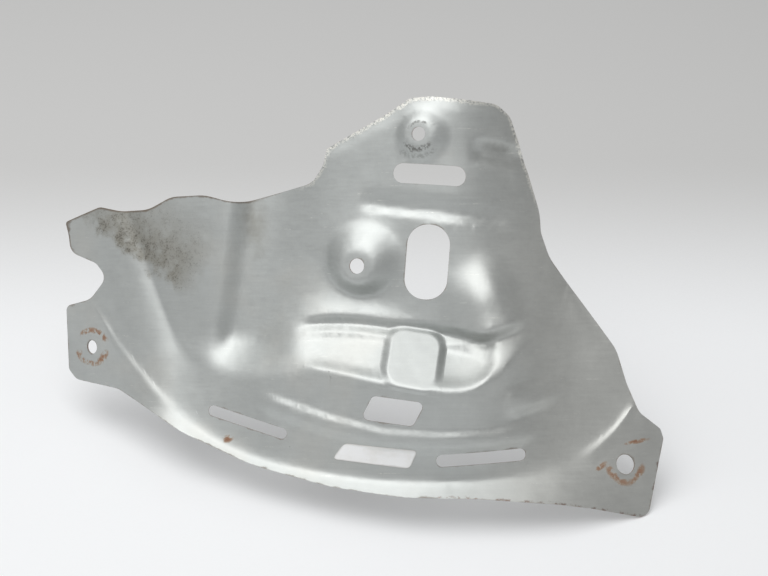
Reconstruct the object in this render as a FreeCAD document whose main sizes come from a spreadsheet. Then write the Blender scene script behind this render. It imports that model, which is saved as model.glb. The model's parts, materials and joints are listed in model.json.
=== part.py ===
import FreeCAD, Part
import math
import os

# Exhaust heat shield, one pressing of thin aluminised steel.
# The die plane is XZ: across is +X, up is +Z, and out, towards the front, is -Y.
# The finished shield leans back by lean_angle, with its origin in the right ear's hole.

V = FreeCAD.Vector

# Single sizes, in millimetres and degrees.
SIZES = {
    "sheet_thick": 0.8,
    "lean_angle": 30.0,
    # heights on the plate at which its two depth rows are given
    "plate_high_up": 27.5,
    "plate_low_up": -18.5,
    "plate_top_share": 0.15,
    # softness of the folds
    "fold_soft": 4.5,
    "fold_steep": 0.55,
    "fold_turn": 4.0,
    "bend_soft": 2.4,
    # lower boss, a leaning cone with a tilted flat
    "low_boss_foot_across": -9.4,
    "low_boss_foot_up": 13.4,
    "low_boss_foot_radius": 17.0,
    "low_boss_across": -12.1,
    "low_boss_up": 9.7,
    "low_boss_flat_radius": 7.6,
    "low_boss_rise": 8.5,
    "low_boss_soft": 0.16,
    # top boss
    "top_boss_foot_across": 17.2,
    "top_boss_foot_up": 67.8,
    "top_boss_foot_radius": 11.4,
    "top_boss_across": 15.1,
    "top_boss_up": 67.8,
    "top_boss_flat_radius": 6.4,
    "top_boss_rise": 4.2,
    "top_boss_soft": 0.18,
    # grooves: depth, and how far each flank reaches above and below the line
    "groove_deep": 1.7,
    "groove_above": 9.0,
    "groove_below": 4.4,
    "short_groove_deep": 3.5,
    "short_groove_above": 8.5,
    "short_groove_below": 6.5,
    "groove_end_run": 4.0,
    # valley between the left wing and the plate, steep on its left
    "valley_deep": 5.8,
    "valley_above": 38.0,
    "valley_below": 15.5,
    # crest that runs down from the groove's end to the pocket's right end
    "crest_rise": 7.0,
    "crest_above": 17.0,
    "crest_below": 28.0,
    # light roll-back of the upper and right edges
    "lip_drop": 1.1,
    "lip_reach": 5.5,
    # raised beads on the bowl
    "long_bead_rise": 1.7,
    "long_bead_half": 6.2,
    "ear_bead_rise": 0.6,
    "ear_bead_half": 3.6,
    "fold_bead_rise": 0.9,
    "fold_bead_half": 3.8,
    "side_bead_rise": 2.4,
    "side_bead_half": 7.8,
    # pocket pressed into the shoulder, with a small ledge at the foot of its riser
    "pocket_deep": 5.5,
    "pocket_riser": 6.5,
    "pocket_left_run": 21.0,
    "pocket_right_run": 9.0,
    "pocket_ledge_rise": 1.5,
    "pocket_ledge_drop": 8.2,
    "pocket_ledge_half": 2.2,
    "pocket_lip_rise": 1.9,
    "pocket_lip_up": 3.0,
    "pocket_lip_half": 2.4,
    # round holes
    "left_ear_across": -137.8,
    "left_ear_up": -27.8,
    "left_ear_bore": 6.4,
    "right_ear_across": 107.5,
    "right_ear_up": -78.4,
    "right_ear_bore": 8.8,
    "top_boss_bore": 6.2,
    "low_boss_bore": 6.8,
    # tool reach to either side of the die plane
    "tool_reach": 140.0,
}

# Lines along which the sheet folds: each station gives across, up and out.
LINES = {
    "rim": (
        (-118, 34, -45.6), (-106, 2, -42.2), (-96, -22, -38.2), (-84, -35, -31.5), (-66, -41, -21.5),
        (-44, -38, -8.5), (-22, -39.5, 0.5), (0, -43.5, 8.5), (20, -45.5, 13), (42, -43.5, 13.5),
        (54, -33, 8.5), (66, -20, -2.5), (80, -2, -14), (100, 23, -23.5),
    ),
    "bend": (
        (-150, 10, -63.5), (-132, -15.5, -53.5), (-115, -37.5, -43.5), (-96, -56, -32.5), (-76, -69, -22.7),
        (-44, -79, -10.3), (-16, -83.5, -2), (14, -85.2, 3.3), (50, -84, 3), (76, -80, -2),
        (92, -73, -7.5), (104, -63, -12), (112, -52, -16), (124, -24, -25),
    ),
}

# Depth rows of the plate and slopes of the shoulder and flange: across and value.
ROWS = {
    "plate_high": (
        (-150, -54), (-130, -48.5), (-110, -42.5), (-92, -36), (-74, -29), (-44, -23.5), (-12, -13),
        (10, -5.5), (28, -0.5), (42, -2), (56, -8), (70, -14.5), (110, -37.5),
    ),
    "plate_low": (
        (-150, -60), (-132, -54), (-115, -47), (-92, -38), (-74, -31.5), (-34, -21.5), (-10, -15),
        (12, -8.5), (30, -3), (43, 0), (54, -1), (66, -5.5), (80, -14), (110, -33),
    ),
    "shoulder_slope": (
        (-120, 0.5), (-45, 0.52), (-20, 0.51), (0, 0.6), (18, 0.75), (32, 0.72), (44, 0.66), (56, 0.75),
        (68, 0.84), (110, 0.7),
    ),
    "flange_slope": (
        (-150, -0.15), (-130, -0.12), (-112, 0.2), (-92, 0.75), (-62, 1.0), (0, 0.95), (46, 0.8),
        (74, 0.6), (92, 0.36), (106, 0.22), (126, 0.16),
    ),
    "rim_round": ((-120, 9), (-104, 6), (-92, 4.8), (-80, 4.2), (-50, 2.6), (0, 2.2), (38, 2.2), (54, 2.4), (64, 4.0), (74, 7.0), (110, 9.0)),
    "pocket_top": ((-45, -15), (-38, -12.5), (-26.5, -11), (-8.5, -11.5), (7, -13.5), (29, -16), (47, -20)),
}

# Middle lines of the pressed grooves and beads: across and up.
CHAINS = {
    "groove": ((-14.5, 38.5), (35, 32), (48, 30), (59, 26.5)),
    "short_groove": ((36, 60.5), (47, 59.5), (66, 56)),
    "valley": ((-54, 72), (-56.5, 47), (-58.7, 28), (-63.5, -8), (-68, -30), (-70, -42)),
    "long_bead": ((-62, -46.5), (-51, -52), (-26, -60), (-1, -66), (23, -67.5), (47, -66.5), (80, -59.5)),
    "ear_bead": ((-137, -8), (-126, -27), (-108, -46), (-92, -60)),
    "fold_bead": ((82, -79), (96, -71), (105, -63), (113, -53)),
    "side_bead": ((50.5, -51), (64, -48.5), (86, -42)),
    "crest": ((31, 27), (40, 10), (47, -4), (52, -17), (54, -23)),
    "lip": (
        (-27.5, 55), (-25.7, 62.8), (0, 76.7), (11.5, 84.1), (20.3, 84.6), (50, 81.6), (56.2, 76.3),
        (62, 59.4), (69.9, 33.4), (70.3, 24.8), (74.3, 13.5), (89, -6.3), (104.4, -27.5),
    ),
}

# Corners of the trimmed blank, clockwise from the left ear: across, up and corner radius.
OUTLINE = (
    (-151.3, -8.5, 3), (-138.5, -5.4, 8), (-130, 5, 8), (-135.5, 11.7, 6), (-148.7, 17, 8), (-149.6, 25, 20),
    (-151.3, 31.3, 1.5), (-133.3, 38, 5), (-123, 35.8, 18), (-109.3, 36.2, 16), (-98.2, 42, 12),
    (-82, 42.5, 20), (-66.8, 38.2, 28), (-32.5, 47.4, 8), (-27.5, 55, 8), (-25.7, 62.8, 1.5), (0, 76.7, 60),
    (11.5, 84.1, 6), (20.3, 84.6, 10), (50, 81.6, 8), (56.2, 76.3, 6), (62, 59.4, 50), (69.9, 33.4, 30),
    (70.3, 24.8, 14), (74.3, 13.5, 20), (89, -6.3, 80), (104.4, -27.5, 20), (109, -43, 16), (114.4, -55.7, 9),
    (124.4, -63.3, 3), (125.8, -67.7, 4), (117.4, -102.5, 5), (91, -96.8, 20), (75.3, -94.4, 40),
    (41.7, -91.8, 120), (7, -91.2, 80), (-23.6, -87.4, 90), (-59.4, -79, 100), (-92.4, -65.2, 70),
    (-113.6, -52.7, 30), (-124, -47, 10), (-146.3, -43.4, 5), (-150.4, -38.8, 4),
)

# Cut-outs with rounded corners: across, up, length, width, turn, lean of the ends, corner radius.
WINDOWS = {
    "top_slot": (20.1, 50.1, 31.8, 8.8, -4.3, 0, 4.2),
    "oval": (19.1, 11.5, 18.8, 33.2, -4.5, 0, 9.3),
    "pocket_window": (12.9, -31.2, 18.6, 20.6, -9.5, 0, 4.6),
    "low_window": (3.8, -53.7, 23.0, 11.0, -7.0, -20, 2.4),
    "left_slot": (-61.5, -60.3, 37.6, 4.8, -16.0, 0, 2.3),
    "right_slot": (42.5, -74.3, 39.4, 5.4, 4.0, 0, 2.6),
}
WINDOW_SIZES = ("across", "up", "length", "width", "turn", "end_lean", "corner")

# Lower and upper edge of the blank before it is trimmed: across and up.
BLANK = {
    "blank_low": (
        (-157, -52), (-125, -56), (-95, -74), (-60, -89), (0, -100), (60, -103), (90, -107), (131, -112),
    ),
    "blank_high": (
        (-157, 40), (-125, 48), (-80, 52), (-45, 60), (-25, 78), (12, 94), (40, 94), (62, 84), (82, 50),
        (105, 14), (131, -24),
    ),
}


def smooth_max(a, b, soft):
    """The larger of two heights, with a rounded valley where they cross."""
    return 0.5 * (a + b + math.sqrt((a - b) ** 2 + soft * soft))


def smooth_min(a, b, soft):
    """The smaller of two heights, with a rounded ridge where they cross."""
    return 0.5 * (a + b - math.sqrt((a - b) ** 2 + soft * soft))


def ease(share):
    """Rises smoothly from 0 to 1 as share goes from 0 to 1."""
    share = min(max(share, 0.0), 1.0)
    return share ** 3 * (10 - 15 * share + 6 * share * share)


class Run:
    """A natural cubic spline through stations, straight beyond its ends."""

    def __init__(self, stations):
        self.x = [float(a) for a, _ in stations]
        self.y = [float(b) for _, b in stations]
        self.bend = self._bends()

    def _bends(self):
        """Second derivatives at the stations, by elimination along the band."""
        x, y = self.x, self.y
        count = len(x)
        pivot = [1.0] * count
        right = [0.0] * count
        for i in range(1, count - 1):
            back, ahead = x[i] - x[i - 1], x[i + 1] - x[i]
            slope = (y[i + 1] - y[i]) / ahead - (y[i] - y[i - 1]) / back
            inner = back if i > 1 else 0.0
            share = inner / pivot[i - 1]
            pivot[i] = 2 * (back + ahead) - share * inner
            right[i] = 6 * slope - share * right[i - 1]
        bends = [0.0] * count
        for i in range(count - 2, 0, -1):
            bends[i] = (right[i] - (x[i + 1] - x[i]) * bends[i + 1]) / pivot[i]
        return bends

    def at(self, across):
        """Value of the run at a place across the shield."""
        x, y, bend = self.x, self.y, self.bend
        inside = min(max(across, x[0]), x[-1])
        i = 0
        while i < len(x) - 2 and inside > x[i + 1]:
            i += 1
        span = x[i + 1] - x[i]
        a, b = x[i + 1] - inside, inside - x[i]
        value = (bend[i] * a ** 3 + bend[i + 1] * b ** 3) / (6 * span)
        value += (y[i] / span - bend[i] * span / 6) * a
        value += (y[i + 1] / span - bend[i + 1] * span / 6) * b
        if across < x[0]:
            value += (across - x[0]) * ((y[1] - y[0]) / span - span * bend[1] / 6)
        if across > x[-1]:
            value += (across - x[-1]) * ((y[-1] - y[-2]) / span + span * bend[-2] / 6)
        return value


class Chain:
    """Straight runs end to end, such as the middle line of a bead."""

    def __init__(self, points):
        self.points = points
        self.spans = [math.dist(a, b) for a, b in zip(points, points[1:])]
        self.length = sum(self.spans)

    def near(self, across, up):
        """Distance to the chain, share of its length there, and height above it."""
        best, share, side, done = 1e9, 0.0, 0.0, 0.0
        for (ax, ay), (bx, by), span in zip(self.points, self.points[1:], self.spans):
            tx, ty = (bx - ax) / span, (by - ay) / span
            along = min(max((across - ax) * tx + (up - ay) * ty, 0.0), span)
            gap = math.hypot(across - ax - along * tx, up - ay - along * ty)
            if gap < best:
                best, share = gap, (done + along) / self.length
                side = tx * (up - ay) - ty * (across - ax)
            done += span
        return best, share, side


class Pressing:
    """The pressed sheet's front face, as a height out of the die plane."""

    def __init__(self, size):
        self.size = size
        self.rim_up = Run([(a, b) for a, b, _ in size["rim"]])
        self.rim_out = Run([(a, c) for a, _, c in size["rim"]])
        self.bend_up = Run([(a, b) for a, b, _ in size["bend"]])
        self.bend_out = Run([(a, c) for a, _, c in size["bend"]])
        self.row = {name: Run(size[name]) for name in ROWS}
        self.chain = {name: Chain(size[name]) for name in CHAINS}

    def plate(self, across, up):
        """The upper plate and both wings, between the low and the high depth row."""
        size = self.size
        low, high = self.row["plate_low"].at(across), self.row["plate_high"].at(across)
        share = (up - size["plate_low_up"]) / (size["plate_high_up"] - size["plate_low_up"])
        top = size["plate_top_share"]
        return low + (high - low) * smooth_min(share, 1 + top * (share - 1), top)

    def bowl(self, across, up):
        """Plate, shoulder, bowl wall and turned-out flange, with their folds rounded."""
        size = self.size
        rim_up, rim_out = self.rim_up.at(across), self.rim_out.at(across)
        bend_up, bend_out = self.bend_up.at(across), self.bend_out.at(across)
        shoulder = rim_out - self.row["shoulder_slope"].at(across) * (up - rim_up)
        wall_slope = (rim_out - bend_out) / max(rim_up - bend_up, 6.0)
        steep, turn = size["fold_steep"], size["fold_turn"]
        wall = rim_out + wall_slope * (up - rim_up)
        wall += max(steep - wall_slope, 0.0) * smooth_max(up - rim_up, 0.0, turn)
        flange_slope = self.row["flange_slope"].at(across)
        flange = bend_out - flange_slope * (up - bend_up)
        flange -= max(steep - flange_slope, 0.0) * smooth_max(up - bend_up, 0.0, turn)
        out = smooth_max(self.plate(across, up), shoulder, size["fold_soft"])
        out = smooth_min(out, wall, self.row["rim_round"].at(across))
        return smooth_max(out, flange, size["bend_soft"])

    def boss(self, name, across, up):
        """A raised boss: a cone that leans with the plate and ends in a round flat."""
        size = self.size
        foot = size[name + "_foot_across"], size[name + "_foot_up"]
        flat = size[name + "_across"], size[name + "_up"]
        radius = size[name + "_foot_radius"]
        taper = radius - size[name + "_flat_radius"]
        dx, dy = flat[0] - foot[0], flat[1] - foot[1]
        ex, ey = across - foot[0], up - foot[1]
        a = taper * taper - dx * dx - dy * dy
        b = radius * taper - ex * dx - ey * dy
        c = radius * radius - ex * ex - ey * ey
        share = (b - math.sqrt(max(b * b - a * c, 0.0))) / a
        soft = size[name + "_soft"]
        return size[name + "_rise"] * smooth_min(smooth_max(share, 0.0, soft), 1.0, soft)

    def groove(self, name, across, up, start, end):
        """A groove with a flank of its own reach on each side, faded at its ends."""
        size = self.size
        gap, share, side = self.chain[name].near(across, up)
        reach = size[name + "_above"] if side > 0 else size[name + "_below"]
        fade = ease(share / start) * (ease((1 - share) / end) if end else 1.0)
        ends = ease((reach - gap) / size["groove_end_run"] + 1)
        return -size[name + "_deep"] * fade * ease(1 - abs(side) / reach) * ends

    def bead(self, name, across, up, start, end):
        """A raised bead that fades out at both ends."""
        size = self.size
        gap, share, _ = self.chain[name].near(across, up)
        half = size[name + "_half"]
        return size[name + "_rise"] * ease(share / start) * ease((1 - share) / end) * ease((half - gap) / (0.85 * half))

    def crest(self, across, up):
        """A crest that grows towards its lower end, steep above and drawn out below."""
        size = self.size
        gap, share, side = self.chain["crest"].near(across, up)
        reach = size["crest_above"] if side > 0 else size["crest_below"]
        return size["crest_rise"] * ease((share - 0.2) / 0.5) * ease((1 - share) / 0.15) * ease(1 - gap / reach)

    def lip(self, across, up):
        """The edge rolled back a little along the top and the right."""
        size = self.size
        gap, share, _ = self.chain["lip"].near(across, up)
        fade = ease(share / 0.06) * ease((1 - share) / 0.15)
        return -size["lip_drop"] * fade * ease(1 - gap / size["lip_reach"])

    def pocket(self, across, up):
        """The pocket under the shoulder: a riser along its top, running out at the rim."""
        size = self.size
        stations = size["pocket_top"]
        left, right = stations[0][0], stations[-1][0] + 4.5
        ends = ease((across - left) / size["pocket_left_run"]) * ease((right - across) / size["pocket_right_run"])
        if ends == 0.0:
            return 0.0
        top, rim = self.row["pocket_top"].at(across), self.rim_up.at(across)
        down = top - up
        run_out = min(max((up - rim - 1.0) / max(top - rim, 3.0), 0.0), 1.0) ** 0.8
        ledge = math.exp(-((down - size["pocket_ledge_drop"]) / size["pocket_ledge_half"]) ** 2)
        deep = size["pocket_deep"] * ease(down / size["pocket_riser"]) * run_out
        lip = math.exp(-((up - rim - size["pocket_lip_up"]) / size["pocket_lip_half"]) ** 2)
        return ends * (size["pocket_ledge_rise"] * ledge + size["pocket_lip_rise"] * lip - deep)

    def out(self, across, up):
        """Height of the front face out of the die plane."""
        height = self.bowl(across, up)
        height += self.boss("low_boss", across, up) + self.boss("top_boss", across, up)
        height += self.groove("groove", across, up, 0.15, 0.2)
        height += self.groove("short_groove", across, up, 0.25, 0)
        height += self.groove("valley", across, up, 0.05, 0.22)
        height += self.bead("ear_bead", across, up, 0.15, 0.3)
        height += self.bead("fold_bead", across, up, 0.4, 0.1)
        height += self.bead("long_bead", across, up, 0.12, 0.2)
        height += self.bead("side_bead", across, up, 0.2, 0.6)
        height += self.crest(across, up) + self.lip(across, up)
        return height + self.pocket(across, up)

    def point(self, across, up):
        """The front face's point, in the document's axes."""
        return V(across, -self.out(across, up), up)

    def normal(self, across, up, step=0.4):
        """Unit normal of the front face, pointing to the front."""
        right = self.point(across + step, up) - self.point(across - step, up)
        above = self.point(across, up + step) - self.point(across, up - step)
        return right.cross(above).normalize()


# Section points of the skin: columns left of, across and right of the bosses, and rows
# below the bend, up the bowl wall and above the rim.
COLUMN_COUNTS = (48, 34, 44)
ROW_COUNTS = (8, 34, 60)


def grid(pressing):
    """Places of the skin's section points: rows follow the bend and the rim, columns crowd at the bosses."""
    size = pressing.size
    low_edge, high_edge = Run(size["blank_low"]), Run(size["blank_high"])
    left, right = size["blank_low"][0][0], size["blank_low"][-1][0]
    boss_left = size["low_boss_foot_across"] - size["low_boss_foot_radius"]
    boss_right = size["top_boss_foot_across"] + size["top_boss_foot_radius"]
    columns = spread((left, boss_left, boss_right, right), COLUMN_COUNTS)
    places = []
    for across in columns:
        low, high = low_edge.at(across), high_edge.at(across)
        tall = high - low
        bend = min(max(pressing.bend_up.at(across), low + 0.06 * tall), low + 0.5 * tall)
        rim = min(max(pressing.rim_up.at(across), bend + 0.2 * tall), low + 0.72 * tall)
        places.append([(across, up) for up in spread((low, bend, rim, high), ROW_COUNTS)])
    return places


def spread(marks, runs):
    """Places from the first mark to the last, evenly spaced between neighbouring marks."""
    places = [a + (b - a) * i / count for a, b, count in zip(marks, marks[1:], runs) for i in range(count)]
    return places + [marks[-1]]


def sharpened(line):
    """Poles whose smooth curve runs through the line's points instead of inside them."""
    inner = [b - (a + c - b * 2) * (1 / 6) for a, b, c in zip(line, line[1:], line[2:])]
    return [line[0]] + inner + [line[-1]]


def drawn_surface(points):
    """A smooth cubic surface through rows of points."""
    columns = [sharpened(column) for column in points]
    poles = list(zip(*[sharpened(row) for row in zip(*columns)]))
    knots, folds = [], []
    for count in (len(poles), len(poles[0])):
        knots.append(list(range(count - 2)))
        folds.append([4] + [1] * (count - 4) + [4])
    surface = Part.BSplineSurface()
    surface.buildFromPolesMultsKnots(poles, folds[0], folds[1], knots[0], knots[1], False, False, 3, 3)
    return surface


def panels(runs):
    """Knot spans of the panels between neighbouring marks, the middle ones halved."""
    marks = [0]
    for count in runs:
        marks.append(marks[-1] + count)
    marks[-1] -= 2
    return list(zip(marks, marks[1:]))


def skin(pressing):
    """The untrimmed sheet: front and back panels a sheet thickness apart, and the sides between them."""
    thick = pressing.size["sheet_thick"]
    places = grid(pressing)
    front = [[pressing.point(*place) for place in column] for column in places]
    back = [
        [point - pressing.normal(*place) * thick for place, point in zip(column, points)]
        for column, points in zip(places, front)
    ]
    faces = []
    surfaces = drawn_surface(front), drawn_surface(back)
    wide, tall = panels(COLUMN_COUNTS), panels(ROW_COUNTS)
    for surface in surfaces:
        for left, right in wide:
            for low, high in tall:
                panel = surface.copy()
                panel.segment(left, right, low, high)
                faces.append(panel.toShape())
    near, far = surfaces
    for level in (tall[0][0], tall[-1][1]):
        for left, right in wide:
            edges = [surface.vIso(level).toShape(left, right) for surface in surfaces]
            faces.append(Part.makeRuledSurface(*edges))
    for station in (wide[0][0], wide[-1][1]):
        for low, high in tall:
            edges = [surface.uIso(station).toShape(low, high) for surface in surfaces]
            faces.append(Part.makeRuledSurface(*edges))
    shell = Part.makeShell(faces)
    shell.sewShape()
    solid = Part.makeSolid(shell)
    if solid.Volume < 0:
        solid.reverse()
    return solid


def rounded(corners):
    """A closed wire in the die plane with each corner rounded, as far as its sides allow."""
    count = len(corners)
    spots = [V(a, 0, b) for a, b, _ in corners]
    arcs = []
    for i, (_, _, radius) in enumerate(corners):
        here, before, after = spots[i], spots[i - 1], spots[(i + 1) % count]
        one, two = before - here, after - here
        room = 0.48 * min(one.Length, two.Length)
        half = 0.5 * one.getAngle(two)
        reach = min(radius / math.tan(half), room)
        one.normalize()
        two.normalize()
        middle = (one + two).normalize()
        sag = reach / math.cos(half) - reach * math.tan(half)
        arcs.append((here + one * reach, here + middle * sag, here + two * reach))
    edges = []
    for i, (start, middle, end) in enumerate(arcs):
        edges.append(Part.Arc(start, middle, end).toShape())
        edges.append(Part.LineSegment(end, arcs[(i + 1) % count][0]).toShape())
    return Part.Wire(edges)


def window_wire(size, name):
    """A rounded cut-out from its middle, length, width and turn."""
    across, up, length, width, turn, lean, corner = (size[name + "_" + key] for key in WINDOW_SIZES)
    shear = math.tan(math.radians(-lean))
    cos, sin = math.cos(math.radians(turn)), math.sin(math.radians(turn))
    corners = []
    for side, level in ((-1, 1), (1, 1), (1, -1), (-1, -1)):
        x = side * length / 2 + shear * level * width / 2
        y = level * width / 2
        corners.append((across + x * cos - y * sin, up + x * sin + y * cos, corner))
    return rounded(corners)


def fill_sheet(doc):
    """Every driving size in its own named cell, and the same sizes read back for the skin."""
    sheet = doc.addObject("Spreadsheet::Sheet", "Sizes")
    cells = dict(SIZES)
    for name, stations in LINES.items():
        for i, station in enumerate(stations, 1):
            for key, value in zip(("across", "up", "out"), station):
                cells[f"{name}_{i}_{key}"] = value
    for name, stations in ROWS.items():
        for i, station in enumerate(stations, 1):
            for key, value in zip(("across", "value"), station):
                cells[f"{name}_{i}_{key}"] = value
    for name, points in CHAINS.items():
        for i, point in enumerate(points, 1):
            for key, value in zip(("across", "up"), point):
                cells[f"{name}_line_{i}_{key}"] = value
    for i, corner in enumerate(OUTLINE, 1):
        for key, value in zip(("across", "up", "radius"), corner):
            cells[f"outline_{i}_{key}"] = value
    for name, stations in BLANK.items():
        for i, station in enumerate(stations, 1):
            for key, value in zip(("across", "up"), station):
                cells[f"{name}_{i}_{key}"] = value
    for name, values in WINDOWS.items():
        for key, value in zip(WINDOW_SIZES, values):
            cells[f"{name}_{key}"] = value
    for line, (name, value) in enumerate(cells.items(), 1):
        sheet.set(f"A{line}", name)
        sheet.set(f"B{line}", str(value))
        sheet.setAlias(f"B{line}", name)
    doc.recompute()
    return sheet


def read_sheet(sheet):
    """Sizes from the sheet's cells, with each line's stations gathered again."""
    size = {name: float(sheet.get(name)) for name in SIZES}
    for name, stations in LINES.items():
        size[name] = gather(sheet, name, len(stations), ("across", "up", "out"))
    for name, stations in ROWS.items():
        size[name] = gather(sheet, name, len(stations), ("across", "value"))
    for name, points in CHAINS.items():
        size[name] = gather(sheet, name + "_line", len(points), ("across", "up"))
    for name, stations in BLANK.items():
        size[name] = gather(sheet, name, len(stations), ("across", "up"))
    size["outline"] = gather(sheet, "outline", len(OUTLINE), ("across", "up", "radius"))
    for name in WINDOWS:
        for key in WINDOW_SIZES:
            size[f"{name}_{key}"] = float(sheet.get(f"{name}_{key}"))
    return size


def gather(sheet, name, count, keys):
    """The numbered cells of one line, as a list of stations."""
    return [tuple(float(sheet.get(f"{name}_{i}_{key}")) for key in keys) for i in range(1, count + 1)]


def add_shape(doc, name, shape):
    """A feature of the document with a shape of its own."""
    feature = doc.addObject("Part::Feature", name)
    feature.Shape = shape
    return feature


def add_tool(doc, name, wire):
    """A wire in the die plane drawn out through the sheet, as long as the tool reach on both sides."""
    base = add_shape(doc, name + "_line", wire)
    tool = doc.addObject("Part::Extrusion", name)
    tool.Base = base
    tool.DirMode = "Custom"
    tool.Dir = V(0, 1, 0)
    tool.Solid = True
    tool.setExpression("LengthFwd", "Sizes.tool_reach")
    tool.setExpression("LengthRev", "Sizes.tool_reach")
    return tool


def add_hole(doc, pressing, name):
    """A round hole pierced square to the face where it stands."""
    size = pressing.size
    place = size[name + "_across"], size[name + "_up"]
    normal = pressing.normal(*place, step=1.5)
    hole = doc.addObject("Part::Cylinder", name + "_hole")
    hole.setExpression("Radius", f"Sizes.{name}_bore / 2")
    reach = 6.0
    hole.Height = 2 * reach
    turn = FreeCAD.Rotation(V(0, 0, 1), normal)
    hole.Placement = FreeCAD.Placement(pressing.point(*place) - normal * reach, turn)
    return hole


def check(doc):
    """Stops the build where any object failed or has no valid shape."""
    for item in doc.Objects:
        if "Invalid" in item.State or "Error" in item.State:
            raise RuntimeError(f"{item.Label} did not build: {item.State}")
        shape = getattr(item, "Shape", None)
        if shape is not None and (shape.isNull() or not shape.isValid()):
            raise RuntimeError(f"{item.Label} has no valid shape")


def main():
    """Builds the shield and writes its STEP file."""
    doc = FreeCAD.newDocument("heat_shield")
    sheet = fill_sheet(doc)
    size = read_sheet(sheet)
    pressing = Pressing(size)

    blank = add_shape(doc, "pressed_blank", skin(pressing))
    trim = add_tool(doc, "trim_tool", rounded(size["outline"]))
    trimmed = doc.addObject("Part::Common", "trimmed_sheet")
    trimmed.Base = blank
    trimmed.Tool = trim

    cuts = [add_tool(doc, name, window_wire(size, name)) for name in WINDOWS]
    cuts += [add_hole(doc, pressing, name) for name in ("left_ear", "right_ear", "top_boss", "low_boss")]
    pierce = doc.addObject("Part::MultiFuse", "piercing_tools")
    pierce.Shapes = cuts

    shield = doc.addObject("Part::Cut", "heat_shield")
    shield.Label = "heat_shield"
    shield.Base = trimmed
    shield.Tool = pierce
    doc.recompute()

    turn = FreeCAD.Rotation(V(1, 0, 0), -size["lean_angle"])
    datum = pressing.point(size["right_ear_across"], size["right_ear_up"])
    shield.Placement = FreeCAD.Placement(turn.multVec(datum) * -1, turn)
    doc.recompute()
    check(doc)

    os.makedirs("parts", exist_ok=True)
    shield.Shape.exportStep("parts/heat_shield.step")


main()
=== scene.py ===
"""Dresses the pressed heat shield: sheet, raised pad, blank paper label, floor, light and camera."""

import json
import logging
import math
from dataclasses import dataclass
from enum import Enum
from typing import Any, Dict, List, Set, Tuple, Union

import bmesh
import bpy
from mathutils import Matrix, Vector
from mathutils.bvhtree import BVHTree
from mathutils.kdtree import KDTree


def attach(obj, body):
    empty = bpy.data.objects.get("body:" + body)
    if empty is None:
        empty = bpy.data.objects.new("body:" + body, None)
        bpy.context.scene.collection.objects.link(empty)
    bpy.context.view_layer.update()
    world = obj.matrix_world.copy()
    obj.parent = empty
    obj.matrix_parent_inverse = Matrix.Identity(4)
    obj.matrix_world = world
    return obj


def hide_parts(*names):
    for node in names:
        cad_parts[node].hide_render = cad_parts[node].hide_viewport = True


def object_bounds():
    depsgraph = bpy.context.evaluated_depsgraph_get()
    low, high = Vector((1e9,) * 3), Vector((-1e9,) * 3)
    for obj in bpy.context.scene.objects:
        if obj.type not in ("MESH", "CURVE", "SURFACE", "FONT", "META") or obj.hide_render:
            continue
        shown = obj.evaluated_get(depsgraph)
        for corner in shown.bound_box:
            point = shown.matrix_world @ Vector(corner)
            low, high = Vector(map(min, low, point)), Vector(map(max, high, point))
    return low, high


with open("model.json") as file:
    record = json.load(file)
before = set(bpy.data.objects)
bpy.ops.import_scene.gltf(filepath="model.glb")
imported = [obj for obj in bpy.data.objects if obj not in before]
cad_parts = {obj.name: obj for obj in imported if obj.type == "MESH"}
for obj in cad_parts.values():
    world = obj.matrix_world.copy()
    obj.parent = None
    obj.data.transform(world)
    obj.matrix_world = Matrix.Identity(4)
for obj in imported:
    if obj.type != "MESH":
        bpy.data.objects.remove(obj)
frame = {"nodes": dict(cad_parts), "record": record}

CAD_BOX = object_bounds()
LOG = logging.getLogger("heat_shield")

# A band is where a smooth step starts and where it is full
Band = Tuple[float, float]
Colour = Tuple[float, float, float, float]
Value = Union[int, float, "Wire"]

# The die's own axes: across the part, up its face and out towards the viewer
LEAN = math.radians(30.0)
ACROSS = Vector((1.0, 0.0, 0.0))
UP = Vector((0.0, math.sin(LEAN), math.cos(LEAN)))
OUT = Vector((0.0, -math.cos(LEAN), math.sin(LEAN)))

# The right ear's hole, which is the origin of the row frame, in the die's millimetres
EAR_ACROSS = 107.5
EAR_UP = -78.4
EAR_OUT = -8.965

# Metres in a millimetre and millimetres in a metre
MILLI = 0.001
PER_METRE = 1000.0

# The height over the die, in millimetres, from which a piece is dropped on the sheet
RAY_START = 120.0

# The middle of every noise, about which it swings
NOISE_MIDDLE = 0.5

# The sockets of a Mix node that carry colours, by their places
MIX_FACTOR, MIX_FIRST, MIX_SECOND, MIX_RESULT = 0, 6, 7, 2


def die_point(across: float, up: float, out: float) -> Vector:
    """Turns a place on the die into the row frame.

    Args:
        across: millimetres to the right of the die's middle.
        up: millimetres above the die's middle.
        out: millimetres towards the viewer.

    Returns:
        The same place in metres.
    """
    place = ACROSS * (across - EAR_ACROSS) + UP * (up - EAR_UP) + OUT * (out - EAR_OUT)
    return place * MILLI


class Side(Enum):
    """Which part of the sheet a face belongs to, as the value kept on the mesh."""

    FRONT = 1.0
    RIM = 0.5
    BACK = 0.0


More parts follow.
